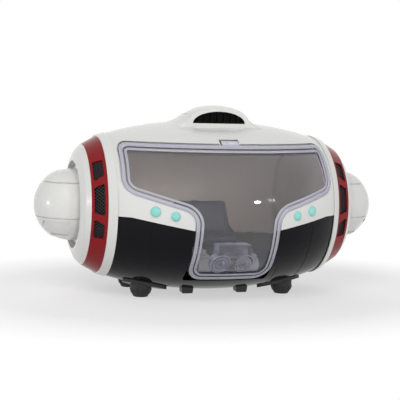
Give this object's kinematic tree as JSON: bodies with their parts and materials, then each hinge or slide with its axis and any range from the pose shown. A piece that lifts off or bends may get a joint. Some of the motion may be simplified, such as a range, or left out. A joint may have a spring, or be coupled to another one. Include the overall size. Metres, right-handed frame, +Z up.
{
  "type": "toy pod vehicle",
  "caption": "Hollow barrel-shaped toy pod with a clear front canopy that swings down on a low hinge, domed ends, slotted end rings, a roof scoop and small feet",
  "frame": {"origin": "on the ground under the middle of the hull, at the centre of the bounding box's bottom face", "axes": "+X along the hull to the right end, -Y to the front with the canopy, +Z up"},
  "size_m": [0.282, 0.178, 0.1511],
  "materials": {
    "shell_white": "moulded plastic with a soft gloss",
    "hull_black": "gloss black moulded plastic",
    "ring_red": "gloss deep red moulded plastic",
    "mesh_black": "matt black mesh",
    "lens_aqua": "glossy aqua paint on a domed lens",
    "canopy_clear": "clear moulded plastic with violet edges",
    "foot_rubber": "matt black rubber",
    "foot_black": "satin black plastic",
    "pin_steel": "plain steel",
    "cabin_cream": "matt grey-brown plastic",
    "floor_dark": "matt dark grey plastic"
  },
  "bodies": {
    "pod": {"cabin_floor": "floor_dark", "end_cap_left": "shell_white", "end_cap_right": "shell_white", "foot_bracket_front_left": "foot_black", "foot_bracket_front_right": "foot_black", "foot_bracket_rear_left": "foot_black", "foot_bracket_rear_right": "foot_black", "foot_pad_front_left": "foot_rubber", "foot_pad_front_right": "foot_rubber", "foot_pad_rear_left": "foot_rubber", "foot_pad_rear_right": "foot_rubber", "hinge_pin": "pin_steel", "hinge_support_left": "shell_white", "hinge_support_right": "shell_white", "keel_pad_front_left": "foot_black", "keel_pad_front_right": "foot_black", "keel_pad_rear_left": "foot_black", "keel_pad_rear_right": "foot_black", "lamp_inner_left": "lens_aqua", "lamp_inner_right": "lens_aqua", "lamp_outer_left": "lens_aqua", "lamp_outer_right": "lens_aqua", "lower_hull": "hull_black", "ring_band_left": "ring_red", "ring_band_right": "ring_red", "roof_scoop": "shell_white", "scoop_grille": "mesh_black", "seat": "cabin_cream", "side_dome_left": "shell_white", "side_dome_right": "shell_white", "upper_shell": "shell_white", "vent_mesh_left": "mesh_black", "vent_mesh_right": "mesh_black"},
    "canopy": {"canopy": "canopy_clear", "hinge_bracket": "canopy_clear"}
  },
  "joints": [
    {"name": "canopy_hinge", "type": "hinge", "parent": "pod", "child": "canopy", "pos_m": [0, -0.058, 0.0305], "axis": [1, 0, 0], "range_deg": [0, 65]}
  ]
}
